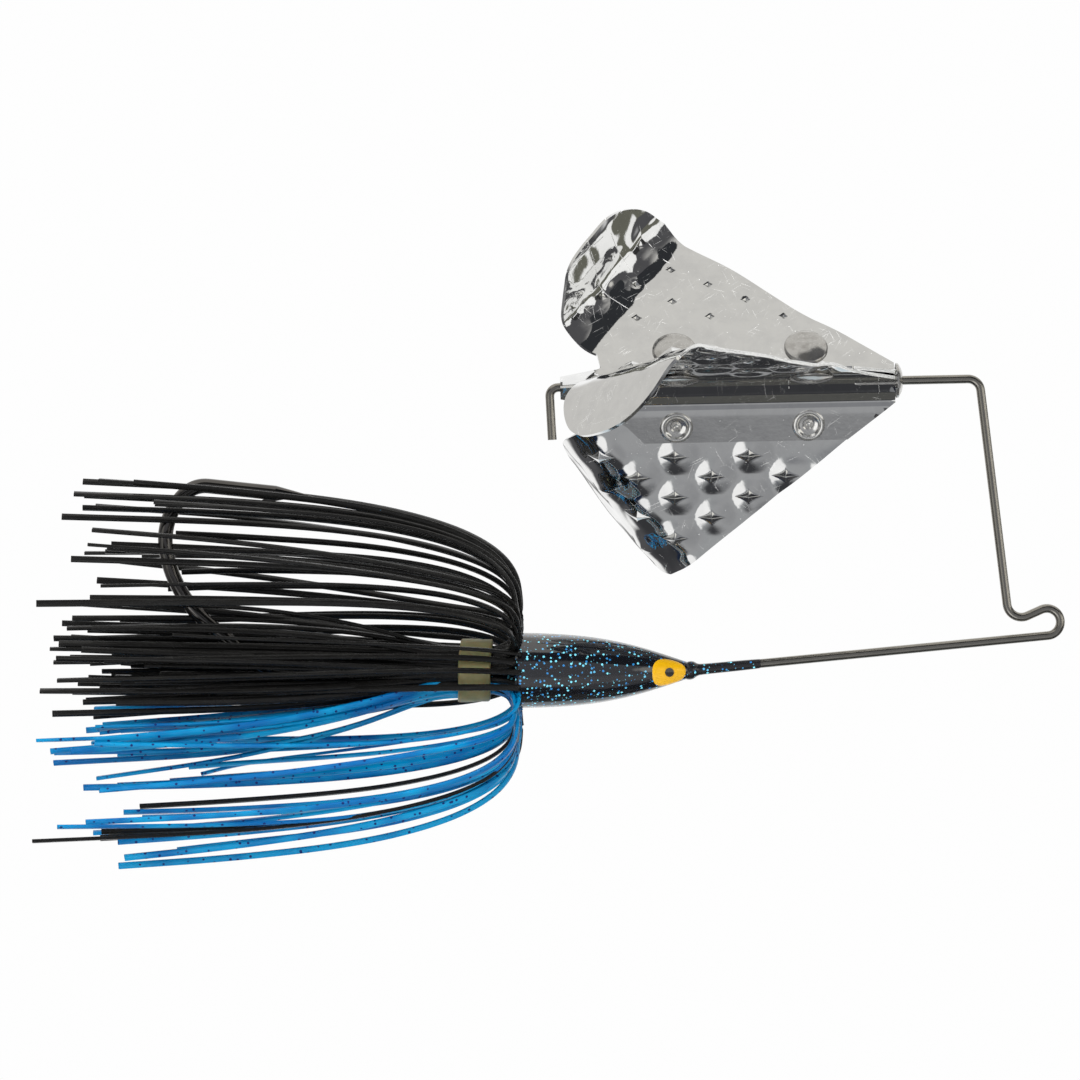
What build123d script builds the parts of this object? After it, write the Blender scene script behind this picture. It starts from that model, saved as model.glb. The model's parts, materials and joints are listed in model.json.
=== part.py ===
from build123d import *
from math import asin, cos, degrees, pi, radians, sin, tan
import os

# A wire-arm surface lure (buzzbait). The origin is the centre of the line tie, +X points
# forward past the lure's nose, +Z up. Millimetres and degrees.

# ---- wire form: one bent stainless wire -------------------------------------------------
WIRE_R = 0.525
SHAFT_RISE = 5.55            # the shaft climbs this much from the nose to the line tie
LOOP_R = 1.6                 # centreline radius of the line tie
LOOP_TURN = 198.65
NECK_FEED = 1.8              # straight between the line tie and the valley bend
VALLEY_R = 1.7
VALLEY_TURN = -107.2
RISER_FEED = 25.4
TOP_BEND_R = 1.5
TOP_TURN = 84.2
AXLE_FEED = 48.2
END_BEND_R = 1.0
END_TURN = 92.0
STUB_FEED = 5.1
NOSE_BEND_R = 6.0

# ---- head: lead casting on the hook and the wire ----------------------------------------
HEAD_Z = -5.69               # height of the head's axis
NOSE_X = -41.9
HEAD_PROFILE = [(-62.2, 4.42), (-58.2, 4.3), (-53.5, 3.9), (-48.8, 3.0), (-44.1, 1.6), (NOSE_X, 0.85)]
NECK_R = 1.95
NECK_END_X = -71.5
PAINT_T = 0.1                # a raised coat of eye paint

EYE_X = -44.45
EYE_Z = -5.95
EYE_RX = 2.15
EYE_RZ = 1.72
PUPIL_X = -44.45
PUPIL_R = 0.53

# ---- hook --------------------------------------------------------------------------------
HOOK_R = 0.875
HOOK_EYE_X = -50.2
HOOK_EYE_R = 1.6             # centreline radius of its eye
# straight feed, then bend radius and turn
HOOK_BENDS = [(37.36, 8.0, -40.0), (5.9, 13.8, -41.5), (0.1, 7.4, -54.0), (0.1, 3.4, -50.5)]
HOOK_POINT_FEED = 12.5
POINT_LENGTH = 4.5
BARB_BACK = 6.5              # from the point's tip back to the barb

# ---- skirt ------------------------------------------------------------------------------
COLLAR_X = -67.2
COLLAR_LENGTH = 3.8
COLLAR_IN_R = 3.2
COLLAR_OUT_R = 3.7
STRAND_WIDTH = 1.0
STRAND_T = 0.45
TIP_X = -112.0               # mean reach of the strand ends
TIP_SPREAD = 8.8
BLUE_FROM = 110.0            # strands further round than this from the top are blue

# ---- propeller: three folded sheets -----------------------------------------------------
SETBACK = 8.54               # from the end of the top bend back to the sheets' front edges
FIRST_WING = 81.2            # angle of the first wing from straight up, towards -Y
SHEET_T = 0.4
FOLD_AT = 2.3                # radius of the fold lines that make the channel
FOLD_R = 0.5
CHANNEL_LENGTH = 35.0
TAIL_LENGTH = 4.4            # behind the channel the sheets close in round the wire
TAIL_FOLD_AT = 1.25
LEAD_START_R = 2.48
LEAD_ANGLE = 39.8            # leading edge against the axle
ROOT_REAR = 34.5             # where the wing's rear edge meets its root
CURL_LINE_AT = 38.15         # where the curl's bend line would cross the axle
CURL_LINE_ANGLE = 56.3
CURL_R = 5.5
CURL_ANGLE = 72.0
LOBE_MIDDLE = 16.85          # along the bend line
LOBE_HALF = 11.1
LOBE_REACH = 11.8            # flat length of the lobe past the bend line
LOBE_LEAN = 0.16             # sideways lean towards the axle
LOBE_FRONT_CURVE = 0.8       # exponents of the lobe's rounded outline, 1 is an ellipse
LOBE_REAR_CURVE = 0.89
LOBE_START = 16.0            # the straight leading edge runs on to this angle of the outline
FLANGE_R = 7.1
RIVET_S = (10.2, 25.8)
RIVET_AT = 5.1
RIVET_R = 1.6
RIVET_HEAD_R = 2.6
RIM_HEIGHT = 0.25            # thickness of the head at its rim
DOME_RISE = 0.5
EYELET_R = 1.95

# ---- bearing rivet ----------------------------------------------------------------------
BORE_R = 0.6
SHANK_R = 1.05
BEARING_LENGTH = 5.0
BEARING_FLANGE_R = 2.05
BEARING_GAP = 0.1

os.makedirs("parts", exist_ok=True)


def save(shape, name):
    export_step(shape, f"parts/{name}.step")


def bend_path(plane, start, heading, moves):
    """Edges of a bent wire in a plane: each move is a feed, or a bend (radius, turn)."""
    edges = []
    at = Vector(*start)
    along = Vector(cos(radians(heading)), sin(radians(heading)))
    for move in moves:
        if isinstance(move, tuple):
            edge = JernArc(at, along, move[0], move[1]).edge()
        else:
            edge = Line(at, at + along * move).edge()
        edges.append(edge)
        at = edge @ 1
        along = edge % 1
    return [plane.from_local_coords(edge) for edge in edges]


def rod(edges, radius):
    """Round rod along a path of tangent edges."""
    path = Wire(edges)
    section = Plane(origin=path @ 0, z_dir=path % 0) * Circle(radius)
    return sweep(section, path=path)


def offset_points(points, distance):
    """The corner points of a polyline moved sideways, to its left for a positive distance."""
    corners = [Vector(*point) for point in points]
    sides = []
    for a, b in zip(corners, corners[1:]):
        step = (b - a).normalized()
        sides.append(Vector(-step.Y, step.X))
    moved = [corners[0] + sides[0] * distance]
    for corner, before, after in zip(corners[1:], sides, sides[1:]):
        moved.append(corner + (before + after) * (distance / (1 + before.dot(after))))
    moved.append(corners[-1] + sides[-1] * distance)
    return moved


def turns(points):
    """Signed turn at each inner corner of a polyline, in degrees."""
    corners = [Vector(*point) for point in points]
    steps = [(b - a).normalized() for a, b in zip(corners, corners[1:])]
    return [a.get_signed_angle(b, Vector(0, 0, 1)) for a, b in zip(steps, steps[1:])]


def strip(points, thickness, radii):
    """Face of a bent strip of even thickness, from its centreline's corners and radii."""
    half = thickness / 2
    signs = [1 if turn > 0 else -1 for turn in turns(points)]
    left = offset_points(points, half)
    right = offset_points(points, -half)
    left_radii = [radius - sign * half for radius, sign in zip(radii, signs)]
    right_radii = [radius + sign * half for radius, sign in zip(radii, signs)]
    sides = [
        FilletPolyline(*left, radius=left_radii),
        Line(left[-1], right[-1]),
        FilletPolyline(*right, radius=right_radii),
        Line(right[0], left[0]),
    ]
    return make_face(Curve() + sides)


def easy_radii(points, share=0.32):
    """Corner radii that use up this share of the shorter run beside each corner."""
    corners = [Vector(*point) for point in points]
    runs = [(b - a).length for a, b in zip(corners, corners[1:])]
    radii = []
    for turn, before, after in zip(turns(points), runs, runs[1:]):
        radii.append(share * min(before, after) / tan(radians(abs(turn) / 2)))
    return radii


# ---- wire form --------------------------------------------------------------------------
def wire_path():
    """Inner end linked through the hook's eye, shaft, line tie, riser, axle and end stub."""
    corner_x = LOOP_R * sin(radians(SHAFT_RISE))
    tie_z = -LOOP_R * cos(radians(SHAFT_RISE))
    shaft = (tie_z - HEAD_Z) / sin(radians(SHAFT_RISE))
    bend_x = corner_x - shaft * cos(radians(SHAFT_RISE))
    setback = NOSE_BEND_R * tan(radians(SHAFT_RISE / 2))
    start_x = bend_x - setback - 1.0
    outer = bend_path(
        Plane.XZ,
        (start_x, HEAD_Z),
        0,
        [
            1.0,
            (NOSE_BEND_R, SHAFT_RISE),
            shaft - setback,
            (LOOP_R, LOOP_TURN),
            NECK_FEED,
            (VALLEY_R, VALLEY_TURN),
            RISER_FEED,
            (TOP_BEND_R, TOP_TURN),
            AXLE_FEED,
            (END_BEND_R, END_TURN),
            STUB_FEED,
        ],
    )
    # the inner end goes round the front limb of the hook's eye and down through it
    aside = 40.0
    round_r = HOOK_EYE_R
    limb_x = HOOK_EYE_X + HOOK_EYE_R
    lean = round_r * (2 * cos(radians(aside)) - 1) / sin(radians(aside))
    turn_x = limb_x + 2 * round_r * sin(radians(aside)) + lean * cos(radians(aside))
    inner = bend_path(
        Plane.XY.offset(HEAD_Z),
        (start_x, 0),
        180,
        [start_x - turn_x, (round_r, -aside), lean, (round_r, aside + 90), 1.6],
    )
    return inner, outer


INNER, OUTER = wire_path()
AXLE_EDGE = OUTER[8]
wire_form = rod(INNER + OUTER, WIRE_R)
save(wire_form, "wire_form")


# ---- hook -------------------------------------------------------------------------------
def make_hook():
    eye = Location((HOOK_EYE_X, 0, HEAD_Z)) * Rotation(90, 0, 0) * Torus(HOOK_EYE_R, HOOK_R)
    moves = []
    for feed, radius, turn in HOOK_BENDS:
        moves += [feed, (radius, turn)]
    moves.append(HOOK_POINT_FEED - POINT_LENGTH)
    shank_x = HOOK_EYE_X - HOOK_EYE_R
    edges = bend_path(Plane.XZ, (shank_x, HEAD_Z), 180, moves)
    bar = rod(edges, HOOK_R)
    end = edges[-1]
    at = end @ 1
    ahead = end % 1
    point_plane = Plane(origin=at, z_dir=ahead)
    tip_plane = Plane(origin=at + ahead * POINT_LENGTH, z_dir=ahead)
    point = loft([point_plane * Circle(HOOK_R), tip_plane * Circle(0.08)])
    # barb: a sliver cut up from the point's inner side
    barb_at = at + ahead * (POINT_LENGTH - BARB_BACK)
    inward = Vector(ahead.Z, 0, -ahead.X)
    barb_plane = Plane(origin=barb_at, x_dir=ahead, z_dir=ahead.cross(inward))
    barb_side = Polyline((4.2, 0.2), (4.2, 0.3), (-0.6, 1.75), (1.2, 0.5), (1.2, 0.2), close=True)
    barb = extrude(barb_plane * make_face(barb_side), amount=0.35, both=True)
    return eye + bar + point + barb


hook = make_hook()
save(hook, "hook")


# ---- head, eyes, pupils -----------------------------------------------------------------
def head_blank(grow):
    """Body of revolution of the casting's outer shape, grown outwards."""
    outline = [(x, r + grow) for x, r in HEAD_PROFILE]
    curve = Spline(*outline)
    sides = Polyline(
        outline[-1],
        (NOSE_X, 0),
        (NECK_END_X, 0),
        (NECK_END_X, NECK_R - 0.35),
        (NECK_END_X + 0.35, NECK_R),
        (outline[0][0] - 0.3, NECK_R),
        (outline[0][0] - 0.3, outline[0][1] - 0.3),
        outline[0],
    )
    return Pos(0, 0, HEAD_Z) * revolve(Plane.XZ * make_face(Curve() + [curve, sides]), Axis.X)


def paint_patch(outline, inner, outer, side):
    """A coat of paint on one side of the head, inside an outline drawn from that side."""
    prism = extrude(Plane.XZ * outline, amount=side * 6.0)
    return (prism & outer) - inner


blank = head_blank(0)
eye_coat = head_blank(PAINT_T)
pupil_coat = head_blank(2 * PAINT_T)
save(blank - hook - wire_form, "head")
for name, side in (("right", 1), ("left", -1)):
    eye_outline = Pos(EYE_X, EYE_Z) * Ellipse(EYE_RX, EYE_RZ)
    pupil_outline = Pos(PUPIL_X, EYE_Z + 0.1) * Circle(PUPIL_R)
    save(paint_patch(eye_outline, blank, eye_coat, side), f"eye_{name}")
    save(paint_patch(pupil_outline, eye_coat, pupil_coat, side), f"pupil_{name}")


# ---- skirt ------------------------------------------------------------------------------
collar_section = Pos(COLLAR_X, (COLLAR_IN_R + COLLAR_OUT_R) / 2) * RectangleRounded(
    COLLAR_LENGTH, COLLAR_OUT_R - COLLAR_IN_R, 0.2
)
save(Pos(0, 0, HEAD_Z) * revolve(Plane.XZ * collar_section, Axis.X), "skirt_collar")


def strand(angle, held_r, front, rear):
    """One silicone ribbon, held at its middle: its front half folds out and back."""
    start = (COLLAR_X, held_r)
    front_points = [start, *front]
    rear_points = [start, *rear]
    spine = rear_points[:0:-1] + front_points[1:]
    flat = extrude(
        Plane.XZ * strip(spine, STRAND_T, easy_radii(spine)), amount=STRAND_WIDTH / 2, both=True
    )
    return Pos(0, 0, HEAD_Z) * Rotation(angle, 0, 0) * flat


def outer_strand(index, angle):
    """The layer next to the collar."""
    tip = 14.0 + 2.2 * sin(2.1 * index)
    reach = TIP_X + TIP_SPREAD * sin(2.4 * index)
    front = [(-64.7, 2.85), (-63.5, 6.5), (-68.4, 0.76 * tip), (-84.0, 0.95 * tip), (reach, tip)]
    rear_tip = 9.8 + sin(1.7 * index)
    back = TIP_X + TIP_SPREAD * sin(3.9 * index + 1)
    rear = [(-71.5, 2.87), (-82.0, 6.4), (back, rear_tip)]
    return strand(angle, 2.85, front, rear)


def inner_strand(index, angle):
    """The layer on the neck: its fold wraps the outer layer's."""
    tip = 21.8 + 1.5 * sin(1.9 * index + 0.6)
    reach = TIP_X + TIP_SPREAD * sin(2.4 * index + 1.2)
    front = [(-64.0, 2.325), (-62.0, 7.5), (-66.0, 0.65 * tip), (-82.0, 0.89 * tip), (reach, tip)]
    rear_tip = 4.8 + 0.8 * sin(2.3 * index)
    back = TIP_X + TIP_SPREAD * sin(3.1 * index)
    rear = [(-74.0, 2.325), (-86.0, 3.4), (back, rear_tip)]
    return strand(angle, 2.325, front, rear)


def strand_layer(make, pitch):
    """One layer round the neck, with none straight up, where the hook's bend stands."""
    black = []
    blue = []
    count = round(360 / pitch)
    for index in range(1, count):
        angle = index * pitch
        from_top = min(angle, 360 - angle)
        group = blue if from_top > BLUE_FROM else black
        group.append(make(index, angle))
    return black, blue


for layer, make, pitch in (("outer", outer_strand, 24.0), ("inner", inner_strand, 30.0)):
    black, blue = strand_layer(make, pitch)
    save(Compound(children=black), f"skirt_black_{layer}")
    save(Compound(children=blue), f"skirt_blue_{layer}")


# ---- propeller --------------------------------------------------------------------------
# A wing's own frame: x rearward along the axle, y outward along the wing, and the curl
# goes to -z. The next wing round is this one turned by -120 degrees about x.
AXLE_START = AXLE_EDGE @ 0
AXLE_DIR = AXLE_EDGE % 0
HUB = AXLE_START + AXLE_DIR * SETBACK
UP = Vector(AXLE_DIR.Z, 0, -AXLE_DIR.X)
TOWARD = Vector(0, -1, 0)


def wing_frame(number):
    """Plane of a wing, from its number round the axle."""
    angle = radians(FIRST_WING + 120 * number)
    swing = TOWARD * cos(angle) - UP * sin(angle)
    return Plane(origin=HUB, x_dir=AXLE_DIR, z_dir=-swing)


def curl_point(k, q):
    """Point of the wing's plane at k along the bend line and q past it."""
    angle = radians(CURL_LINE_ANGLE)
    return (CURL_LINE_AT - k * cos(angle) + q * sin(angle), k * sin(angle) + q * cos(angle))


def flat_to_plan(distance):
    """How far a point of the curl lies past the bend line, seen square to the wing."""
    arc = CURL_R * radians(CURL_ANGLE)
    if distance < arc:
        return CURL_R * sin(distance / CURL_R)
    return CURL_R * sin(radians(CURL_ANGLE)) + (distance - arc) * cos(radians(CURL_ANGLE))


def lobe_points(count=14):
    """Outline of the rounded lobe past the bend line, from its front end to its rear end."""
    points = []
    for i in range(count):
        turn = radians(LOBE_START + (180 - LOBE_START) * i / (count - 1))
        side = 1 if turn < pi / 2 else -1
        curve = LOBE_FRONT_CURVE if side > 0 else LOBE_REAR_CURVE
        d = LOBE_REACH * max(sin(turn), 0) ** curve
        k = LOBE_MIDDLE + side * LOBE_HALF * abs(cos(turn)) ** curve - LOBE_LEAN * d
        points.append(curl_point(k, flat_to_plan(d)))
    return points


def wing_plate():
    """The flat wing and its curled lobe."""
    angle = radians(CURL_LINE_ANGLE)
    slope = tan(radians(LEAD_ANGLE))
    lead_k = (LEAD_START_R + CURL_LINE_AT * slope) / (sin(angle) + cos(angle) * slope)
    lobe = lobe_points()
    root = FOLD_AT + 0.2
    edge = Spline(*lobe)
    rest = Polyline(lobe[-1], (ROOT_REAR, root), (0.02, root), curl_point(lead_k, 0), lobe[0])
    plan = make_face(Curve() + [edge, rest])
    corner = CURL_R * tan(radians(CURL_ANGLE / 2))
    mid = SHEET_T / 2
    leg = corner + LOBE_REACH
    bent = [
        (-40, mid),
        (corner, mid),
        (corner + leg * cos(radians(CURL_ANGLE)), mid + leg * sin(radians(CURL_ANGLE))),
    ]
    across = Plane(
        origin=(CURL_LINE_AT, 0, 0),
        x_dir=(sin(angle), cos(angle), 0),
        z_dir=(-cos(angle), sin(angle), 0),
    )
    plate = extrude(across * strip(bent, SHEET_T, [CURL_R]), amount=45)
    return plate & extrude(plan, amount=20, both=True)


def channel():
    """The folded middle of a sheet: a short return on its own wing, and on the next wing."""
    mid = SHEET_T / 2
    c, s = cos(radians(120)), sin(radians(120))
    out = FOLD_AT + 0.45

    def on_next(r):
        return (r * c + mid * s, -r * s + mid * c)

    def facet_end(x, fold_at):
        middle = [(fold_at, -mid), on_next(fold_at)]
        outline = offset_points(middle, mid) + offset_points(middle, -mid)[::-1]
        return Plane.YZ.offset(x) * make_face(Polyline(*outline, close=True))

    corners = [(out, -mid), (FOLD_AT, -mid), on_next(FOLD_AT), on_next(out)]
    section = strip(corners, SHEET_T, [FOLD_R, FOLD_R])
    tail_ends = [
        facet_end(CHANNEL_LENGTH, FOLD_AT),
        facet_end(CHANNEL_LENGTH + TAIL_LENGTH, TAIL_FOLD_AT),
    ]
    return extrude(Plane.YZ * section, amount=CHANNEL_LENGTH) + loft(tail_ends, ruled=True)


def flange():
    """The rear flange of a sheet, in the frame of the wing that it lies against."""
    slope = tan(radians(LEAD_ANGLE))
    root = FOLD_AT + 0.2
    outline = Polyline(
        (0.02, root),
        ((FLANGE_R - LEAD_START_R) / slope, FLANGE_R),
        (29.6, FLANGE_R),
        (31.6, 5.0),
        (35.5, root),
        close=True,
    )
    return extrude(make_face(outline), amount=SHEET_T)


def blade_sheet():
    """One folded sheet in its own wing's frame."""
    holes = [Pos(s, RIVET_AT, 0) * Cylinder(RIVET_R, 4) for s in RIVET_S]
    next_wing = Rotation(-120, 0, 0)
    lapped = flange() - holes
    return wing_plate() - holes + channel() + next_wing * lapped


def wing_rivet():
    """Hollow rivet: domed head on the wing's curl side, crimped eyelet on the other."""
    rim_z = -SHEET_T - RIM_HEIGHT
    dome_r = (RIVET_HEAD_R**2 + DOME_RISE**2) / (2 * DOME_RISE)
    spread = degrees(asin(RIVET_HEAD_R / dome_r))
    dome = CenterArc((0, rim_z - DOME_RISE + dome_r), dome_r, -90, spread)
    edge = Polyline(
        (0, rim_z - DOME_RISE),
        (0, -SHEET_T + 0.1),
        (0.35, -SHEET_T + 0.3),
        (1.0, SHEET_T + 0.45),
        (1.35, SHEET_T + 0.5),
        (EYELET_R, SHEET_T + 0.15),
        (EYELET_R, SHEET_T),
        (RIVET_R, SHEET_T),
        (RIVET_R, -SHEET_T),
        (RIVET_HEAD_R, -SHEET_T),
        (RIVET_HEAD_R, rim_z),
    )
    return revolve(Plane.XZ * make_face(Curve() + [dome, edge]), Axis.Z)


def bearing_rivet():
    """Hollow rivet on the axle: domed flange in front, shank inside the channel."""
    dome = ThreePointArc((-0.3, BEARING_FLANGE_R), (-0.68, 1.4), (-0.85, BORE_R + 0.1))
    edge = Polyline(
        (-0.85, BORE_R + 0.1),
        (-0.75, BORE_R),
        (BEARING_LENGTH, BORE_R),
        (BEARING_LENGTH, SHANK_R - 0.1),
        (BEARING_LENGTH - 0.3, SHANK_R),
        (-BEARING_GAP, SHANK_R),
        (-BEARING_GAP, BEARING_FLANGE_R),
        (-0.3, BEARING_FLANGE_R),
    )
    return revolve(Plane.XY * make_face(Curve() + [dome, edge]), Axis.X)


sheet = blade_sheet()
rivet = wing_rivet()
save(wing_frame(0) * bearing_rivet(), "bearing_rivet")
for number in range(3):
    frame = wing_frame(number)
    save(frame * sheet, f"blade_sheet_{number + 1}")
    for place, s in zip(("front", "rear"), RIVET_S):
        save(frame * Pos(s, RIVET_AT, 0) * rivet, f"wing_rivet_{number + 1}_{place}")
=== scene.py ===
import json
import random
from math import cos, pi, radians, sin, sqrt, tan

import bpy
import numpy as np
from mathutils import Matrix, Vector, noise
from mathutils.bvhtree import BVHTree
from mathutils.geometry import delaunay_2d_cdt


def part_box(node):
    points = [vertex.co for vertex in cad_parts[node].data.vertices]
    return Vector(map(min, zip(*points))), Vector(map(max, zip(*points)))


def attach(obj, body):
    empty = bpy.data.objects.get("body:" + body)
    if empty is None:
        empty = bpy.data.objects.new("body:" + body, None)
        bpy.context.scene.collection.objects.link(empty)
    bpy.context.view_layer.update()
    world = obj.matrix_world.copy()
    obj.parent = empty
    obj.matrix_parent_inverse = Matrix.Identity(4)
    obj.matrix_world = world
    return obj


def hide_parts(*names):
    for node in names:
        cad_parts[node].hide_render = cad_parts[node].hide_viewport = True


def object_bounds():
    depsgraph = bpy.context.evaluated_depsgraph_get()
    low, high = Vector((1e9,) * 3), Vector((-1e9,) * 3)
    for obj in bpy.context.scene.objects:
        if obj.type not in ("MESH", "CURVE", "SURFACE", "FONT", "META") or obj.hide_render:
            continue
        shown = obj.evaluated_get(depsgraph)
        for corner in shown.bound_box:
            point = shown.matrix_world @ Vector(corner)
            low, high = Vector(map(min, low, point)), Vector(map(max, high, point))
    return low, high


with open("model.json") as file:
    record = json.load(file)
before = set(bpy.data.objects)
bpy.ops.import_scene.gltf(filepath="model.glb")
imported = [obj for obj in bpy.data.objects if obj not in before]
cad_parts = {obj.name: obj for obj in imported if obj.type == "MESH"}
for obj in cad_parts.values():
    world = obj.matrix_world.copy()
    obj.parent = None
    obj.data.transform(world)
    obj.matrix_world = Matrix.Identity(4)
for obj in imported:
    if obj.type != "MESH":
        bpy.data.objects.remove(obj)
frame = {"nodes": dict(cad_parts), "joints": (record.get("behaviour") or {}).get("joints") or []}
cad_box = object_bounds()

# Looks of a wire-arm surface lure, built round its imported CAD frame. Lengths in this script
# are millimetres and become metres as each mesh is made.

MM = 0.001

# ---- places read from the frame
SPIN = next(joint for joint in frame["joints"] if joint["name"] == "propeller_spin")
HUB = Vector(SPIN["pos_m"]) / MM
REARWARD = -Vector(SPIN["axis"]).normalized()
UP = Vector((REARWARD.z, 0, -REARWARD.x))
TOWARD = Vector((0, -1, 0))


def node_box(node):
    """Lowest and highest corner of a CAD node, in millimetres."""
    low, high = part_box(node)
    return low / MM, high / MM


HEAD_LOW, HEAD_HIGH = node_box("head")
COLLAR_LOW, COLLAR_HIGH = node_box("skirt_collar")
HEAD_Z = (HEAD_LOW.z + HEAD_HIGH.z) / 2
NOSE_X = HEAD_HIGH.x

# ---- propeller sheets: the same driving sizes as the CAD sheets
FIRST_WING = 81.2            # degrees from straight up, towards the viewer
SHEET_T = 0.4
FOLD_AT = 2.3                # radius of the fold lines that make the channel
FOLD_R = 0.5
CHANNEL_LENGTH = 35.0
TAIL_LENGTH = 4.4            # behind the channel the sheets close in round the wire
TAIL_FOLD_AT = 1.25
LEAD_START_R = 2.48
LEAD_ANGLE = 39.8            # leading edge against the axle
ROOT_REAR = 34.5             # where the wing's rear edge meets its root
CURL_LINE_AT = 38.15         # where the curl's bend line would cross the axle
CURL_LINE_ANGLE = 56.3
CURL_R = 5.5
CURL_ANGLE = 72.0
LOBE_MIDDLE = 16.85          # along the bend line
LOBE_HALF = 11.1
LOBE_REACH = 11.8            # flat length of the lobe past the bend line
LOBE_LEAN = 0.16             # sideways lean towards the axle
LOBE_FRONT_CURVE = 0.8       # exponents of the lobe's rounded outline, 1 is an ellipse
LOBE_REAR_CURVE = 0.89
LOBE_START = 16.0            # the straight leading edge runs on to this angle of the outline
LOBE_POINTS = 60
FLANGE_R = 7.1
FLANGE_REAR = ((CHANNEL_LENGTH - 0.1, 2.8), (31.6, 5.0), (29.6, FLANGE_R))   # its cut rear corner
RIVET_S = (10.2, 25.8)       # the rivets' places along the axle
RIVET_AT = 5.1
RIVET_R = 1.6

# punched dimples: a staggered grid, rows along the axle, shifted a little on each sheet
DIMPLE_PITCH = 8.8
DIMPLE_ROWS = (8.5, 11.05, 13.6, 16.2, 18.8, 21.4, 24.0)
DIMPLES_IN_ROW = 7
DIMPLE_SHIFTS = ((0.4, 0.0), (-0.35, 0.45), (-0.72, -0.6))
DIMPLES_END = (1.0, 6.0, 9.0)        # how far past the bend line each sheet is still punched
DIMPLE_MARGIN = 1.1          # none is nearer than this to an edge
DIMPLE_R = 2.0               # reach of the mound round a dimple, towards the rear
MOUND_SKEW = 0.65            # towards the front it reaches twice this much further
MOUND_CURVE = 1.6            # over 1 softens its foot
MOUND_RISE = 0.26
PIT_MOUNDS = (0.20, 0.08, 0.08)      # rise of the mound on each sheet's other face
STAR_HALF_LENGTH = 1.65
STAR_HALF_WIDTH = 0.85
STAR_CURVE = 0.78            # exponent of its outline, under 1 for hollow sides
STAR_RISE = 0.50
PIT_R = 0.62
PIT_SQUASH = 1.3
PIT_DEPTH = 0.30
LIP_R = 0.75                 # a shallow dip round the pit
LIP_WIDTH = 0.22
LIP_SINK = 0.03

# unevenness of the thin sheets
CREASE_ALONG = 5.2           # spacing of the creases that run along the curl
CREASE_ACROSS = 4.6          # and of those that cross it
CREASED = (0.12, 0.35, 1.0)  # how much each sheet shows
CURL_UNEVEN = (0.28, 0.50, 1.0)      # how uneven each sheet's curl is
WAVE_SCALE = 0.11            # slack waves on the flat, per millimetre
WAVE_RISE = 0.14
DENT_SCALE = 0.26            # dents on the curl
DENT_RISE = 0.30
CELL_RISE = (0.13, 0.07)     # of the cells between those creases
EDGE_LIFT = 0.22             # lift of the leading edge
EDGE_WAVES = 0.6             # how uneven that lift is
EDGE_FADE = 1.6              # how quickly that fades away from the edge
FLANGE_TILT = 0.08           # slope of the flange off the wing that it lies on
FLANGE_TILTED = 3.6          # how far in from its edge it slopes
EDGE_BEVEL = 0.08            # rounding of the sheets' rims


# ---- node graph helper
class Graph:
    """Adds nodes to a tree; arguments are sockets or plain values."""

    def __init__(self, tree):
        self.tree = tree
        tree.nodes.clear()

    def put(self, socket, value):
        """Links a socket, or sets a plain value."""
        if isinstance(value, bpy.types.NodeSocket):
            self.tree.links.new(value, socket)
        elif value is not None:
            socket.default_value = value

    def node(self, kind, inputs=(), **settings):
        """Adds a node with its settings, and its inputs by name or number."""
        made = self.tree.nodes.new(kind)
        for name, value in settings.items():
            setattr(made, name, value)
        for key, value in dict(inputs).items():
            self.put(made.inputs[key], value)
        return made

    def math(self, operation, *values):
        return self.node("ShaderNodeMath", dict(enumerate(values)), operation=operation).outputs[0]

    def vector(self, operation, *values):
        made = self.node("ShaderNodeVectorMath", dict(enumerate(values)), operation=operation)
        return made.outputs["Value" if operation in ("DOT_PRODUCT", "LENGTH", "DISTANCE") else 0]

    def mix(self, factor, first, second):
        made = self.node("ShaderNodeMix", data_type="RGBA")
        self.put(made.inputs[0], factor)
        self.put(made.inputs[6], first)
        self.put(made.inputs[7], second)
        return made.outputs[2]

    def ramp(self, value, low, high, start=0.0, end=1.0):
        """A smooth step from start to end as value goes from low to high."""
        inputs = {0: value, 1: low, 2: high, 3: start, 4: end}
        return self.node("ShaderNodeMapRange", inputs, interpolation_type="SMOOTHSTEP").outputs[0]

    def noise(self, place, scale, detail=3.0, rough=0.55):
        inputs = {"Vector": place, "Scale": scale, "Detail": detail, "Roughness": rough}
        return self.node("ShaderNodeTexNoise", inputs).outputs["Fac"]

    def cells(self, place, scale):
        """Distance to the nearest cell point, and the cell's random colour."""
        made = self.node("ShaderNodeTexVoronoi", {"Vector": place, "Scale": scale})
        return made.outputs["Distance"], made.outputs["Color"]

    def millimetres(self):
        """Places on the piece in millimetres."""
        place = self.node("ShaderNodeTexCoord").outputs["Object"]
        return self.vector("MULTIPLY", place, (1 / MM, 1 / MM, 1 / MM))

    def axes(self, place):
        made = self.node("ShaderNodeSeparateXYZ", {0: place})
        return made.outputs["X"], made.outputs["Y"], made.outputs["Z"]

    def bump(self, height, distance, strength=1.0, normal=None):
        inputs = {"Height": height, "Distance": distance * MM, "Strength": strength}
        if normal is not None:
            inputs["Normal"] = normal
        return self.node("ShaderNodeBump", inputs).outputs[0]

    def flecks(self, place, spacing, radius, share):
        """Round dots of one radius, in a share of cells of one spacing."""
        distance, colour = self.cells(place, 1 / spacing)
        dot = self.ramp(distance, radius / spacing * 1.15, radius / spacing * 0.85)
        picked = self.math("LESS_THAN", self.axes(colour)[0], share)
        return self.math("MULTIPLY", dot, picked), colour


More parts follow.
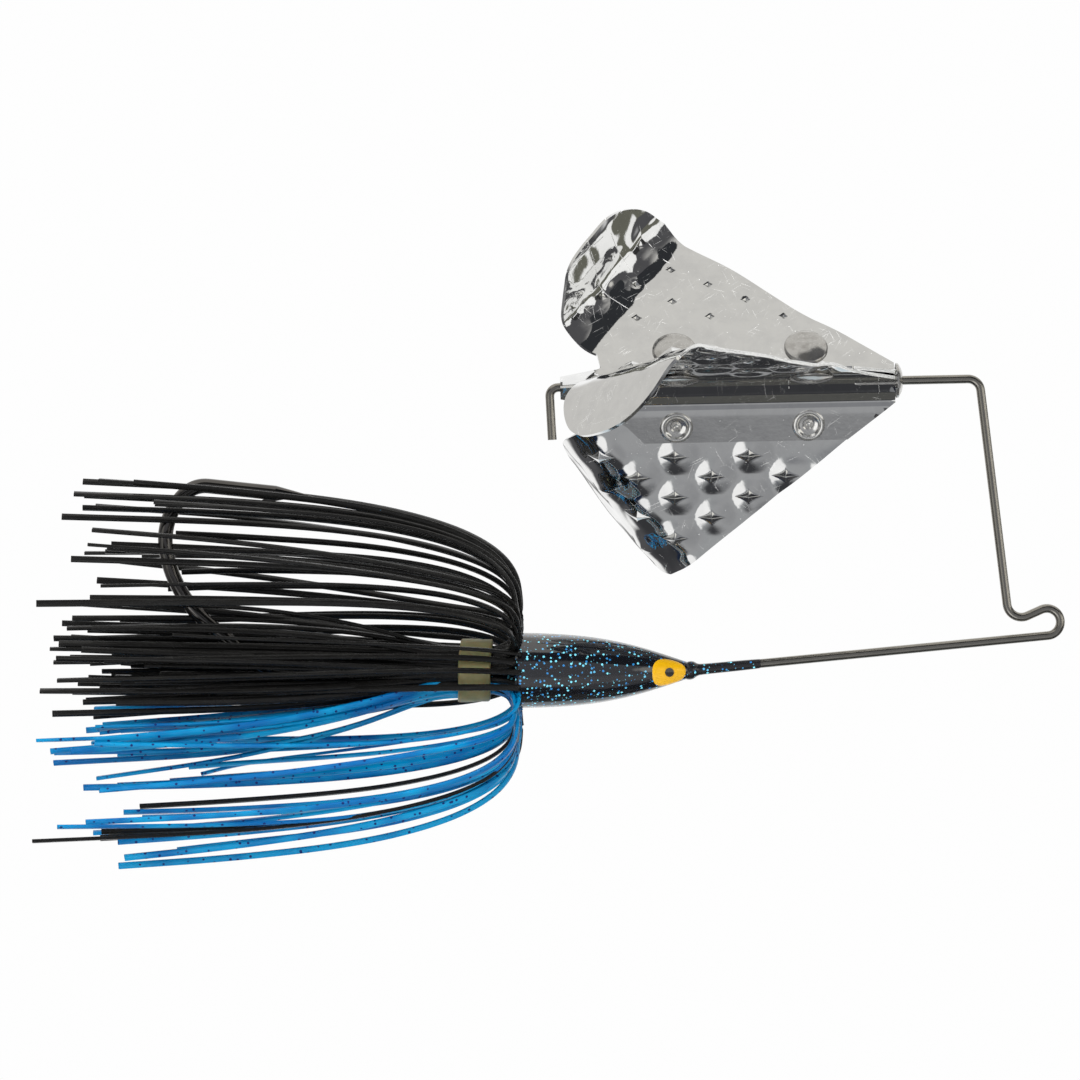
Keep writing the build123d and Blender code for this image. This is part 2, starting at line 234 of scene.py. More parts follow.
def material(name, build, **plain):
    """Material whose Principled inputs are plain values, or sockets that build() returns."""
    made = bpy.data.materials.new(name)
    made.use_nodes = True
    graph = Graph(made.node_tree)
    linked = build(graph)
    inputs = {key.replace("_", " "): value for key, value in plain.items()}
    inputs.update(linked)
    shader = graph.node("ShaderNodeBsdfPrincipled", inputs)
    graph.node("ShaderNodeOutputMaterial", {"Surface": shader.outputs[0]})
    return made


def rgb(red, green, blue):
    return (red, green, blue, 1.0)


# ---- materials
SCRATCHES = ((24, 0.70), (-38, 0.69), (71, 0.70), (118, 0.71))   # direction, and how rare they are
CREASE_WIDTH = 0.06


def scratch_lines(graph, place, angle, rarity):
    """Thin straight scratches in one direction."""
    turn = radians(angle)
    along = graph.vector("DOT_PRODUCT", place, (cos(turn), sin(turn), 0))
    across = graph.vector("DOT_PRODUCT", place, (-sin(turn), cos(turn), 0))
    side = graph.axes(place)[2]
    drawn = graph.node(
        "ShaderNodeCombineXYZ",
        {0: graph.math("MULTIPLY", along, 0.30), 1: graph.math("MULTIPLY", across, 6.5), 2: side},
    ).outputs[0]
    return graph.ramp(graph.noise(drawn, 1.0, 1.0, 0.3), rarity, rarity + 0.04)


def crease_lines(graph, value, spacing, width):
    """Thin lines wherever a value is near a multiple of the spacing."""
    fraction = graph.math("FRACT", graph.math("DIVIDE", value, spacing))
    off = graph.math("ABSOLUTE", graph.math("SUBTRACT", fraction, 0.5))
    return graph.ramp(off, 0.5 - width / spacing, 0.5 - width / spacing / 2)


def chrome_nodes(graph):
    """Polished sheet: scratches in worn places, dust, faint smudges, and creases on the curl."""
    place = graph.node("ShaderNodeAttribute", attribute_name="sheet_place").outputs["Vector"]
    curl = graph.node("ShaderNodeAttribute", attribute_name="curl_place").outputs["Vector"]
    along, past, creased = graph.axes(curl)
    scratches = None
    for angle, rarity in SCRATCHES:
        lines = scratch_lines(graph, place, angle, rarity)
        scratches = lines if scratches is None else graph.math("MAXIMUM", scratches, lines)
    worn = graph.ramp(graph.noise(place, 0.24, 3.0), 0.46, 0.60)
    scratches = graph.math("MULTIPLY", scratches, worn)
    dust, _ = graph.flecks(place, 0.62, 0.055, 0.5)
    dust = graph.math("MULTIPLY", dust, graph.ramp(graph.noise(place, 0.3, 2.0), 0.40, 0.56))
    wander = graph.math("MULTIPLY", graph.math("SUBTRACT", graph.noise(place, 0.16, 1.0), 0.5), 1.6)
    across = crease_lines(graph, graph.math("ADD", along, wander), CREASE_ACROSS, CREASE_WIDTH)
    lengthwise = crease_lines(graph, graph.math("ADD", past, wander), CREASE_ALONG, CREASE_WIDTH)
    broken = graph.ramp(graph.noise(place, 0.45, 2.0), 0.46, 0.52)
    creases = graph.math("MULTIPLY", graph.math("MAXIMUM", across, lengthwise), broken)
    creases = graph.math("MULTIPLY", creases, graph.ramp(past, 0.2, 0.8))
    creases = graph.math("MULTIPLY", creases, creased)
    marks = graph.math("MULTIPLY", scratches, 0.35)
    marks = graph.math("MAXIMUM", marks, graph.math("MULTIPLY", dust, 0.7))
    marks = graph.math("MAXIMUM", marks, graph.math("MULTIPLY", creases, 0.8))
    smudge = graph.ramp(graph.noise(place, 0.5, 4.0, 0.6), 0.35, 0.7)
    clean = graph.mix(smudge, rgb(0.84, 0.84, 0.83), rgb(0.78, 0.78, 0.775))
    colour = graph.mix(marks, clean, rgb(0.95, 0.95, 0.94))
    rough = graph.math(
        "ADD", graph.ramp(smudge, 0, 1, 0.03, 0.06), graph.math("MULTIPLY", marks, 0.4)
    )
    metallic = graph.math("SUBTRACT", 1.0, graph.math("MULTIPLY", marks, 0.75))
    waves = graph.bump(graph.noise(place, 0.28, 2.0), 0.03, 0.4)
    fine = graph.bump(graph.math("ADD", graph.noise(place, 2.2, 3.0), creases), 0.010, 0.35, waves)
    return {"Base Color": colour, "Roughness": rough, "Metallic": metallic, "Normal": fine}


def rivet_nodes(graph):
    """Dull plated metal, stained in places."""
    place = graph.millimetres()
    mottle = graph.noise(place, 2.6, 5.0, 0.7)
    stain = graph.ramp(graph.noise(place, 0.9, 3.0), 0.42, 0.66)
    colour = graph.mix(
        graph.math("MULTIPLY", mottle, stain), rgb(0.60, 0.59, 0.57), rgb(0.36, 0.345, 0.32)
    )
    rough = graph.ramp(mottle, 0.3, 0.7, 0.08, 0.20)
    return {"Base Color": colour, "Roughness": rough, "Normal": graph.bump(mottle, 0.03, 0.3)}


def eyelet_nodes(graph):
    """The same rivet's rolled end, with painted light: a paler colour than the head's stands in for
    the bright surroundings it mirrors.
    """
    place = graph.millimetres()
    wear = graph.noise(place, 1.8, 4.0)
    # painted light: these pale colours make the rolled end brighter than the rivet's head, though
    # both are one metal
    colour = graph.mix(wear, rgb(0.93, 0.925, 0.90), rgb(0.80, 0.79, 0.76))
    rough = graph.ramp(wear, 0.3, 0.7, 0.05, 0.12)
    return {"Base Color": colour, "Roughness": rough, "Normal": graph.bump(wear, 0.01, 0.15)}


def steel_nodes(graph):
    """Drawn stainless wire, with lines along it."""
    place = graph.millimetres()
    drawn = graph.node("ShaderNodeMapping", {"Vector": place, "Scale": (0.4, 5.0, 5.0)}).outputs[0]
    lines = graph.noise(drawn, 1.6, 4.0, 0.6)
    blotch = graph.noise(place, 0.35, 3.0)
    colour = graph.mix(blotch, rgb(0.37, 0.355, 0.315), rgb(0.51, 0.485, 0.44))
    rough = graph.ramp(lines, 0.3, 0.7, 0.16, 0.30)
    return {"Base Color": colour, "Roughness": rough, "Normal": graph.bump(lines, 0.02, 0.4)}


def hook_nodes(graph):
    """Smooth black nickel plate."""
    place = graph.millimetres()
    blotch = graph.noise(place, 0.5, 3.0)
    colour = graph.mix(blotch, rgb(0.13, 0.125, 0.12), rgb(0.20, 0.19, 0.18))
    rough = graph.ramp(graph.noise(place, 4.0, 3.0), 0.3, 0.7, 0.06, 0.14)
    return {"Base Color": colour, "Roughness": rough, "Normal": graph.bump(blotch, 0.03, 0.3)}


GLITTER_SPACING = 0.46


def glitter(graph, place, base, share):
    """Glitter under a clear coat: two sizes of flake, from pale cyan to deep blue."""
    large, tint = graph.flecks(place, GLITTER_SPACING, 0.135, share)
    elsewhere = graph.vector("ADD", place, (3.7, 1.9, 5.3))
    small, _ = graph.flecks(elsewhere, GLITTER_SPACING * 0.8, 0.07, share * 0.7)
    hue = graph.axes(tint)[1]
    flake = graph.mix(graph.ramp(hue, 0.25, 0.8), rgb(0.22, 0.78, 0.95), rgb(0.02, 0.22, 0.56))
    cover = graph.math("MAXIMUM", large, graph.math("MULTIPLY", small, 0.5))
    return graph.mix(cover, base, flake), large


def head_nodes(graph):
    """Black paint with blue glitter; near the collar a painted reflection of the dark skirt darkens
    it and hides the glitter.
    """
    place = graph.millimetres()
    colour, flake = glitter(graph, place, rgb(0.003, 0.0035, 0.006), 0.55)
    # painted reflection: towards the collar the head is darkened and its glitter hidden, standing
    # in for the dark skirt that the glossy paint mirrors
    skirt_reflection_painted = graph.ramp(graph.axes(place)[0], HEAD_LOW.x + 3.2, HEAD_LOW.x + 1.2, 0, 0.7)
    colour = graph.mix(skirt_reflection_painted, colour, rgb(0.004, 0.008, 0.022))
    rough = graph.ramp(flake, 0, 1, 0.24, 0.4)
    orange_peel = graph.bump(graph.noise(place, 0.55, 2.0), 0.03, 0.4)
    return {"Base Color": colour, "Roughness": rough, "Coat Normal": orange_peel}


def shaft_paint_nodes(graph):
    """The head's paint where it ran on to the wire, thinner."""
    place = graph.millimetres()
    colour, flake = glitter(graph, place, rgb(0.010, 0.010, 0.012), 0.35)
    return {"Base Color": colour, "Roughness": graph.ramp(flake, 0, 1, 0.22, 0.4)}


def eye_nodes(graph):
    """Thick yellow paint, slightly uneven."""
    place = graph.millimetres()
    wash = graph.noise(place, 0.9, 3.0)
    colour = graph.mix(wash, rgb(0.76, 0.415, 0.001), rgb(0.64, 0.34, 0.001))
    return {"Base Color": colour, "Normal": graph.bump(graph.noise(place, 1.6, 2.0), 0.05, 0.4)}


def pupil_nodes(graph):
    place = graph.millimetres()
    colour = graph.mix(graph.noise(place, 2.0), rgb(0.010, 0.009, 0.008), rgb(0.03, 0.027, 0.022))
    return {"Base Color": colour}


def collar_nodes(graph):
    """Olive rubber with dark specks."""
    place = graph.millimetres()
    speck, _ = graph.flecks(place, 0.8, 0.09, 0.5)
    wash = graph.mix(graph.noise(place, 0.8, 3.0), rgb(0.24, 0.22, 0.105), rgb(0.12, 0.11, 0.045))
    colour = graph.mix(speck, wash, rgb(0.06, 0.055, 0.03))
    return {"Base Color": colour, "Normal": graph.bump(graph.noise(place, 1.5, 3.0), 0.06, 0.5)}


def black_strand_nodes(graph):
    """Black silicone with fine lines along it and rare blue flecks."""
    place = graph.millimetres()
    grain = graph.node("ShaderNodeMapping", {"Vector": place, "Scale": (0.3, 3.0, 3.0)}).outputs[0]
    lines = graph.noise(grain, 1.0, 3.0)
    fleck, _ = graph.flecks(place, 3.4, 0.16, 0.10)
    base = graph.mix(lines, rgb(0.003, 0.003, 0.0029), rgb(0.013, 0.0126, 0.012))
    colour = graph.mix(fleck, base, rgb(0.02, 0.22, 0.45))
    return {
        "Base Color": colour,
        "Roughness": graph.ramp(lines, 0.3, 0.7, 0.17, 0.30),
        "Normal": graph.bump(lines, 0.05, 0.5),
    }


def blue_strand_nodes(graph):
    """Blue silicone, washed lighter and darker, with dark flecks."""
    place = graph.millimetres()
    fleck, _ = graph.flecks(place, 0.85, 0.17, 0.95)
    wash = graph.ramp(graph.noise(place, 0.12, 2.0), 0.35, 0.65)
    base = graph.mix(wash, rgb(0.0, 0.25, 0.50), rgb(0.0, 0.11, 0.335))
    colour = graph.mix(fleck, base, rgb(0.004, 0.02, 0.12))
    return {"Base Color": colour, "Normal": graph.bump(graph.noise(place, 2.0, 2.0), 0.04, 0.4)}


chrome = material("polished_sheet", chrome_nodes)
rivet_metal = material("rivet_metal", rivet_nodes, Metallic=0.93)
brightened_eyelet_metal = material("brightened_eyelet_metal", eyelet_nodes, Metallic=0.9)
steel = material("stainless_wire", steel_nodes, Metallic=1.0)
nickel = material("black_nickel", hook_nodes, Metallic=1.0)
head_paint = material(
    "glitter_paint", head_nodes,
    Specular_IOR_Level=0.1, Coat_Weight=1.0, Coat_IOR=2.25, Coat_Roughness=0.02,
)
shaft_paint = material("shaft_paint", shaft_paint_nodes, Coat_Weight=0.8, Coat_Roughness=0.08)
eye_paint = material("eye_paint", eye_nodes, Roughness=0.38, Coat_Weight=0.35, Coat_Roughness=0.08)
pupil_paint = material("pupil_paint", pupil_nodes, Roughness=0.12, Coat_Weight=1.0)
collar_rubber = material(
    "olive_rubber", collar_nodes, Roughness=0.38, Subsurface_Weight=0.35, Subsurface_Scale=0.001
)
black_silicone = material("black_silicone", black_strand_nodes, Specular_IOR_Level=0.38)
blue_silicone = material(
    "blue_silicone", blue_strand_nodes, Roughness=0.25, Specular_IOR_Level=0.36
)


# ---- mesh helpers
def piece(name, vertices, faces, finish, body, replaces=()):
    """A smooth-shaded mesh object from millimetre points, riding on a body."""
    mesh = bpy.data.meshes.new(name)
    mesh.from_pydata([Vector(v) * MM for v in vertices], [], faces)
    mesh.validate()
    mesh.polygons.foreach_set("use_smooth", [True] * len(mesh.polygons))
    mesh.materials.append(finish)
    made = bpy.data.objects.new(name, mesh)
    bpy.context.scene.collection.objects.link(made)
    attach(made, body)
    if replaces:
        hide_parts(*replaces)
    return made


def tube_faces(rings, around):
    """Quads that join rings of points, one ring after another."""
    faces = []
    for i in range(rings - 1):
        for j in range(around):
            a, b = i * around + j, i * around + (j + 1) % around
            faces.append((a, b, b + around, a + around))
    return faces


def modify(made, kind, **settings):
    """Adds a modifier to a piece."""
    modifier = made.modifiers.new(kind.lower(), kind)
    for key, value in settings.items():
        setattr(modifier, key, value)


# ---- propeller sheets: developed flat, meshed, then folded and curled
def curl_axes(s, r):
    """Along and across the curl's bend line, from places along and out from the axle."""
    angle = radians(CURL_LINE_ANGLE)
    ds = s - CURL_LINE_AT
    return -ds * cos(angle) + r * sin(angle), ds * sin(angle) + r * cos(angle)


def from_curl_axes(k, d):
    """The other way round."""
    angle = radians(CURL_LINE_ANGLE)
    return CURL_LINE_AT - k * cos(angle) + d * sin(angle), k * sin(angle) + d * cos(angle)


def facet_half(fold_at):
    """Half the width of the channel's facet between its two fold lines."""
    return fold_at * sin(radians(60)) - SHEET_T / 4


# a flat place t runs across the blank: down the wing, round a fold, over the facet, round the
# other fold, and out along the flange
HALF_FOLD = radians(30)      # each of the two folds turns the sheet by this
FOLD_SET = FOLD_R * tan(HALF_FOLD / 2)
FOLD_ARC = FOLD_R * HALF_FOLD
WING_T = FOLD_AT + FOLD_SET                  # where the wing ends
FACET_RUN = 2 * facet_half(FOLD_AT) - 2 * FOLD_SET
FACET_T = WING_T - FOLD_ARC                  # where the facet begins
FACET_MID = FACET_T - FACET_RUN / 2
FLANGE_T = FACET_T - FACET_RUN - FOLD_ARC    # where the flange begins


def flange_place(r):
    """Flat place of the flange at a radius in the next wing's plane."""
    return FLANGE_T - (r - WING_T)


def section(t):
    """Middle of the sheet and its normal, across the axle, at flat places t."""
    first_turn = (WING_T - t) / FOLD_R
    second_turn = (FLANGE_T + FOLD_ARC - t) / FOLD_R + HALF_FOLD
    # known fault: the facet's first half stays unfolded; FACET_MID in place of FACET_T folds it
    turn = np.where(t >= FACET_T, first_turn, second_turn)
    low, high = np.clip(turn, 0, HALF_FOLD), np.clip(turn, HALF_FOLD, 2 * HALF_FOLD)
    turn = np.where(t < FACET_MID, high, low)
    normal = np.stack([-np.sin(turn), np.cos(turn)], axis=-1)
    first = np.array([WING_T, -SHEET_T / 2 - FOLD_R])
    down = np.array([-cos(HALF_FOLD), -sin(HALF_FOLD)])
    second = first + down * FACET_RUN
    point = np.where((t < FACET_MID)[:, None], second, first) + FOLD_R * normal
    along = np.stack([-np.cos(turn), -np.sin(turn)], axis=-1)
    run = np.where(t > WING_T, WING_T - t, 0.0)
    run = np.where((t < FACET_T) & (t >= FACET_MID), FACET_T - t, run)
    run = np.where((t < FACET_MID) & (t > FLANGE_T + FOLD_ARC), FACET_T - FACET_RUN - t, run)
    run = np.where(t < FLANGE_T, FLANGE_T - t, run)
    return point + along * run[:, None], normal


def fold_tail(s, t):
    """The facet alone, closing in round the wire behind the channel."""
    share = np.clip((s - CHANNEL_LENGTH) / TAIL_LENGTH, 0, 1)
    fold_at = FOLD_AT + (TAIL_FOLD_AT - FOLD_AT) * share
    lift = fold_at * cos(radians(60)) + SHEET_T / 2 * cos(radians(30))
    normal = np.array([-sin(HALF_FOLD), cos(HALF_FOLD)])
    outward = np.array([cos(HALF_FOLD), sin(HALF_FOLD)])
    point = -normal * lift[:, None] + outward * (t - FACET_MID)[:, None]
    return point, np.broadcast_to(normal, point.shape)


def fold_sheet(flat):
    """Bends flat places (along the axle, across it) into the wing's own frame, with normals."""
    s, t = flat[:, 0], flat[:, 1]
    across, normal_across = section(t)
    tail_point, tail_normal = fold_tail(s, t)
    behind = ((s > CHANNEL_LENGTH + 1e-6) & (t < WING_T))[:, None]
    across = np.where(behind, tail_point, across)
    normal_across = np.where(behind, tail_normal, normal_across)
    points = np.column_stack([s, across])
    normals = np.column_stack([np.zeros_like(s), normal_across])
    k, d = curl_axes(s, t)
    curled = (d > 0) & (t > WING_T)
    turn = np.clip(d / CURL_R, 0, radians(CURL_ANGLE))
    straight = np.maximum(d - CURL_R * radians(CURL_ANGLE), 0)
    q = CURL_R * np.sin(turn) + straight * np.cos(turn)
    rise = CURL_R * (1 - np.cos(turn)) + straight * np.sin(turn)
    curl_s, curl_r = from_curl_axes(k, q)
    curl_points = np.column_stack([curl_s, curl_r, -SHEET_T / 2 - rise])
    angle = radians(CURL_LINE_ANGLE)
    tip = np.sin(turn)
    curl_normals = np.column_stack([tip * sin(angle), tip * cos(angle), np.cos(turn)])
    points = np.where(curled[:, None], curl_points, points)
    normals = np.where(curled[:, None], curl_normals, normals)
    return points, normals


def sheet_outline():
    """Outline of the flat blank: wing, lobe, tail and flange."""
    slope = tan(radians(LEAD_ANGLE))
    angle = radians(CURL_LINE_ANGLE)
    lead_k = (LEAD_START_R + CURL_LINE_AT * slope) / (sin(angle) + cos(angle) * slope)
    lobe = []
    for i in range(LOBE_POINTS):
        turn = radians(LOBE_START + (180 - LOBE_START) * i / (LOBE_POINTS - 1))
        side = 1 if turn < pi / 2 else -1
        curve = LOBE_FRONT_CURVE if side > 0 else LOBE_REAR_CURVE
        d = LOBE_REACH * max(sin(turn), 0) ** curve
        k = LOBE_MIDDLE + side * LOBE_HALF * abs(cos(turn)) ** curve - LOBE_LEAN * d
        lobe.append(from_curl_axes(k, d))
    end = CHANNEL_LENGTH + TAIL_LENGTH
    wide, narrow = facet_half(FOLD_AT), facet_half(TAIL_FOLD_AT)
    return [
        (0, LEAD_START_R),
        from_curl_axes(lead_k, 0),
        *lobe,
        (ROOT_REAR + 0.1, WING_T + 0.2),
        (CHANNEL_LENGTH, FACET_MID + wide),
        (end, FACET_MID + narrow),
        (end, FACET_MID - narrow),
        (CHANNEL_LENGTH, FACET_MID - wide),
        *((s, flange_place(r)) for s, r in FLANGE_REAR),
        ((FLANGE_R - LEAD_START_R) / slope, flange_place(FLANGE_R)),
        (0, flange_place(LEAD_START_R)),
    ]


def divide(points, step):
    """Closed outline with its sides divided into short steps."""
    out = []
    for a, b in zip(points, points[1:] + points[:1]):
        a, b = np.array(a), np.array(b)
        count = max(1, round(np.linalg.norm(b - a) / step))
        out += [a + (b - a) * i / count for i in range(count)]
    return np.array(out)


def inside(points, outline):
    """Which points lie inside a closed outline."""
    x, y = points[:, 0:1], points[:, 1:2]
    x0, y0 = outline[:, 0], outline[:, 1]
    x1, y1 = np.roll(x0, -1), np.roll(y0, -1)
    crosses = (y0 > y) != (y1 > y)
    at = x0 + (y - y0) * (x1 - x0) / np.where(y1 == y0, 1e-12, y1 - y0)
    return (np.sum(crosses & (x < at), axis=1) % 2) == 1


def distance_to(points, places):
    """Distance from each point to the nearest of some places."""
    return np.sqrt(((points[:, None, :] - places[None, :, :]) ** 2).sum(-1)).min(axis=1)


def lattice(low, high, step):
    """Points in staggered rows."""
    rows = np.arange(low[1], high[1], step * sqrt(3) / 2)
    made = []
    for number, y in enumerate(rows):
        x = np.arange(low[0] + step / 2 * (number % 2), high[0], step)
        made.append(np.column_stack([x, np.full_like(x, y)]))
    return np.vstack(made)


MESH_STEP = 0.42
DIMPLE_TICKS = 27            # grid lines each way across a dimple
TICK_CURVE = 1.35            # over 1 brings them closer at its middle
HOLE_POINTS = 32
blank = divide(sheet_outline(), MESH_STEP * 0.8)


def dimple_places(number):
    """Every punched dimple that falls well inside a wing."""
    along, out = DIMPLE_SHIFTS[number]
    made = []
    for row, r in enumerate(DIMPLE_ROWS):
        shift = row % 2 / 2
        made += [(along + DIMPLE_PITCH * (i + shift), r + out) for i in range(DIMPLES_IN_ROW)]
    made = np.array(made)
    clear_of_edge = inside(made, blank) & (distance_to(made, blank) > DIMPLE_MARGIN)
    made = made[clear_of_edge & (made[:, 1] > FLANGE_R + 1.2)]
    return made[curl_axes(made[:, 0], made[:, 1])[1] < DIMPLES_END[number]]


def flat_mesh(dimples):
    """Triangles of the flat blank: fine round each dimple, with the rivet holes left open."""
    round_hole = np.linspace(0, 2 * pi, HOLE_POINTS + 1)[:-1]
    holes = []
    for s in RIVET_S:
        for t in (RIVET_AT, flange_place(RIVET_AT)):
            ring = [(s + RIVET_R * cos(a), t + RIVET_R * sin(a)) for a in round_hole]
            holes.append(np.array(ring))
    rims = np.vstack([blank, *holes])
    loose = lattice(blank.min(0), blank.max(0), MESH_STEP)
    loose = loose[distance_to(loose, dimples) > DIMPLE_R]
    ticks = np.linspace(-1, 1, DIMPLE_TICKS)
    ticks = DIMPLE_R * np.sign(ticks) * np.abs(ticks) ** TICK_CURVE
    fine = np.stack(np.meshgrid(ticks, ticks), axis=-1).reshape(-1, 2)
    fine = fine[np.hypot(*fine.T) <= DIMPLE_R]
    loose = np.vstack([loose, *(fine + place for place in dimples)])
    loose = loose[inside(loose, blank)]
    loose = loose[distance_to(loose, rims) > MESH_STEP * 0.4]
    for hole in holes:
        loose = loose[~inside(loose, hole)]
    edges = []
    start = 0
    for rim in [blank, *holes]:
        count = len(rim)
        edges += [(start + i, start + (i + 1) % count) for i in range(count)]
        start += count
    points = np.vstack([rims, loose])
    found = delaunay_2d_cdt([Vector(p) for p in points], edges, [], 0, 1e-6)
    verts = np.array([tuple(v) for v in found[0]])
    tris = np.array(found[2])
    middles = verts[tris].mean(axis=1)
    keep = inside(middles, blank)
    for hole in holes:
        keep &= ~inside(middles, hole)
    return verts, tris[keep]


def punch(flat, dimples, pit_mound):
    """How far the punch pushed each face out: a star on a mound on one, a pit on the other."""
    star_side = np.zeros(len(flat))
    pit_side = np.zeros(len(flat))
    for s, r in dimples:
        x, y = flat[:, 0] - s, flat[:, 1] - r
        past = curl_axes(s, r)[1]
        sharp = 1 - 0.8 * float(np.clip((past - 1.0) / 4.0, 0, 1))      # blunter on the curl
        away = np.hypot(x, y)
        reach = DIMPLE_R + MOUND_SKEW * (1 - x / np.maximum(away, 1e-6))
        mound = np.clip(1 - (away / reach) ** 2, 0, 1) ** MOUND_CURVE
        arms = (np.abs(x) / STAR_HALF_LENGTH) ** STAR_CURVE
        star = np.clip(1 - arms - (np.abs(y) / STAR_HALF_WIDTH) ** STAR_CURVE, 0, 1)
        star_side += MOUND_RISE * mound + sharp * STAR_RISE * star
        pit = np.clip(1 - (np.abs(x) + PIT_SQUASH * np.abs(y)) / PIT_R, 0, 1)
        lip = np.exp(-(((away - LIP_R) / LIP_WIDTH) ** 2))
        pit_side += pit_mound * mound + sharp * (PIT_DEPTH * pit - LIP_SINK * lip)
    return star_side, pit_side


def pillow(flat, seed, on_curls):
    """Unevenness of the thin sheet: slack waves, a lifted edge, dents and cells on the curl."""
    k, d = curl_axes(flat[:, 0], flat[:, 1])
    wing = flat[:, 1] > WING_T + 1.0
    curl = np.clip((d - 0.5) / 2.5, 0, 1) * wing
    on_curl = curl * on_curls
    waves = np.array([noise.noise((x * WAVE_SCALE, y * WAVE_SCALE, seed)) for x, y in flat])
    dents = np.array([noise.noise((x * DENT_SCALE, y * DENT_SCALE, seed + 7.0)) for x, y in flat])
    cells = CELL_RISE[0] * np.abs(np.sin(pi * (d - 0.4) / CREASE_ALONG))
    cells += CELL_RISE[1] * np.abs(np.sin(pi * k / CREASE_ACROSS))
    free = np.clip((flat[:, 1] - FLANGE_R + 1.0) / 4.0, 0, 1)
    slope = radians(LEAD_ANGLE)
    to_lead = LEAD_START_R * cos(slope) + flat[:, 0] * sin(slope) - flat[:, 1] * cos(slope)
    lifted = np.exp(-np.clip(to_lead, 0, None) / EDGE_FADE) * wing * (1 - curl)
    to_edge = FLANGE_R - (FLANGE_T + WING_T - flat[:, 1])
    flange = np.where(flat[:, 1] < FLANGE_T, FLANGE_TILT * np.minimum(to_edge, FLANGE_TILTED), 0)
    lift = (EDGE_LIFT + EDGE_WAVES * waves) * lifted
    return (WAVE_RISE * waves + lift) * free + on_curl * (DENT_RISE * dents - cells) - flange


def wing_to_world(points, number):
    """From a wing's own frame (rearward, outward, away from the curl) to the row frame."""
    angle = radians(FIRST_WING + 120 * number)
    outward = UP * cos(angle) + TOWARD * sin(angle)
    swing = TOWARD * cos(angle) - UP * sin(angle)
    basis = np.array([REARWARD, outward, -swing])
    return points @ basis + np.array(HUB)


def rim_edges(tris):
    """Directed edges that only one triangle has."""
    directed = {(a, b) for tri in tris for a, b in zip(tri, tri[1:] + tri[:1])}
    return [(a, b) for a, b in directed if (b, a) not in directed]


FACE_APART = 5               # keeps the marks on every face different


def blade_sheet(number):
    """Closed sheet: its two faces are punched differently, and its rims are rounded."""
    dimples = dimple_places(number)
    flat, tris = flat_mesh(dimples)
    tris = tris.tolist()
    points, normals = fold_sheet(flat)
    star_side, pit_side = punch(flat, dimples, PIT_MOUNDS[number])
    uneven = pillow(flat, number * 3.3, CURL_UNEVEN[number])
    over = points + normals * (SHEET_T / 2 + uneven + star_side)[:, None]
    under = points + normals * (uneven + pit_side - SHEET_T / 2)[:, None]
    world = wing_to_world(np.vstack([over, under]), number)
    count = len(flat)
    rims = rim_edges(tris)
    faces = [tri[::-1] for tri in tris]
    faces += [[i + count for i in tri] for tri in tris]
    faces += [(a, b, b + count, a + count) for a, b in rims]
    made = piece(
        f"folded_sheet_{number + 1}", world.tolist(), faces, chrome,
        "propeller", [f"blade_sheet_{number + 1}"],
    )
    mesh = made.data
    along, past = curl_axes(flat[:, 0], flat[:, 1])
    face = np.full(count, 2.0 * FACE_APART * number)
    creased = np.full(count, CREASED[number])
    shells = {
        "sheet_place": [np.column_stack([flat, face]), np.column_stack([flat, face + FACE_APART])],
        "curl_place": [np.column_stack([along, past, creased])] * 2,
    }
    for name, values in shells.items():
        values = np.vstack(values).astype("f").ravel()
        mesh.attributes.new(name, "FLOAT_VECTOR", "POINT").data.foreach_set("vector", values)
    sharp = {frozenset((a + shift, b + shift)) for a, b in rims for shift in (0, count)}
    weights = [float(frozenset(edge.vertices) in sharp) for edge in mesh.edges]
    mesh.attributes.new("bevel_weight_edge", "FLOAT", "EDGE").data.foreach_set("value", weights)
    bevel = {"width": EDGE_BEVEL * MM, "segments": 2, "limit_method": "WEIGHT"}
    modify(made, "BEVEL", harden_normals=True, **bevel)


for number in range(3):
    blade_sheet(number)


# ---- hollow rivets: a worn domed head on one side, a rolled eyelet on the other
# radius, and height off the middle of the two lapped sheets
RIVET_HEAD = (
    (0.0, -1.15), (0.5, -1.13), (1.0, -1.08), (1.5, -0.99), (2.0, -0.86), (2.35, -0.74),
    (2.54, -0.64), (2.60, -0.53), (2.56, -0.41),
)
RIVET_EYELET = (
    (1.6, -0.41), (1.6, 0.39), (1.90, 0.41), (1.97, 0.50), (1.95, 0.64), (1.84, 0.78),
    (1.66, 0.86), (1.48, 0.84), (1.36, 0.74), (1.28, 0.60), (1.05, 0.50), (0.80, 0.46),
    (0.62, 0.40), (0.48, 0.26), (0.36, 0.08), (0.2, -0.02), (0.0, -0.04),
)
EYELET_FOOT = 0.41           # above this it is rolled a little askew


def wing_rivet(number, place, s):
    """One rivet, turned about an axis square to its wing, slightly out of round."""
    profile = RIVET_HEAD + RIVET_EYELET
    around = 40
    local = []
    for radius, z in profile:
        for j in range(around):
            angle = 2 * pi * j / around
            out = radius * (1 + 0.012 * sin(2 * angle + number + s))
            sink = 0.03 * sin(angle + 2 * number + s) * (z > EYELET_FOOT) * radius
            local.append((s + out * cos(angle), RIVET_AT + out * sin(angle), z + sink))
    faces = [(a, d, c, b) for a, b, c, d in tube_faces(len(profile), around)]
    world = wing_to_world(np.array(local), number)
    made = piece(
        f"rivet_{number + 1}_{place}", world.tolist(), faces, rivet_metal,
        "propeller", [f"wing_rivet_{number + 1}_{place}"],
    )
    made.data.materials.append(brightened_eyelet_metal)
    for index, face in enumerate(made.data.polygons):
        face.material_index = int(index >= len(RIVET_HEAD) * around)
    modify(made, "WELD", merge_threshold=0.005 * MM)


for number in range(3):
    for place, s in zip(("front", "rear"), RIVET_S):
        wing_rivet(number, place, s)


